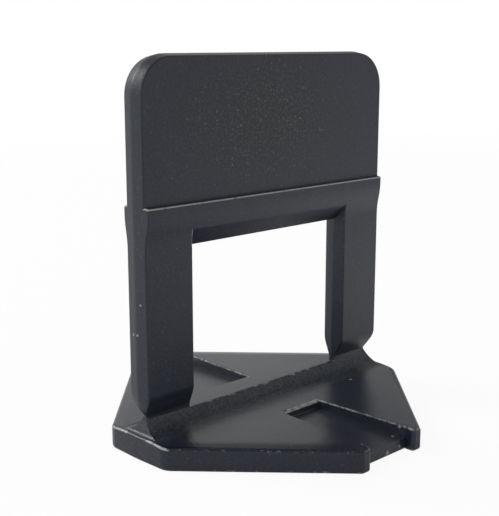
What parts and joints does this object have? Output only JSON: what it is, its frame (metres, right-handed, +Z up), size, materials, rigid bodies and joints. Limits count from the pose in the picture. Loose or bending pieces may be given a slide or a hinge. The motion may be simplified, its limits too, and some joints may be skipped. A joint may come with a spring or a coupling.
{
  "type": "tile levelling clip",
  "caption": "One-piece black plastic snap-off clip: octagonal base with end notches, ridge, thin breakable neck, and an upright plate with a wedge window and ledge, for levelling tiles.",
  "frame": {"origin": "centre of the base's underside", "axes": "+Z up along the upright, X along the ridge and the upright's width, Y through the upright's thickness"},
  "size_m": [0.0408, 0.041, 0.045],
  "materials": {
    "black_plastic": "satin moulded black plastic with a fine grain"
  },
  "bodies": {
    "root": {"levelling_clip": "black_plastic"}
  },
  "joints": []
}
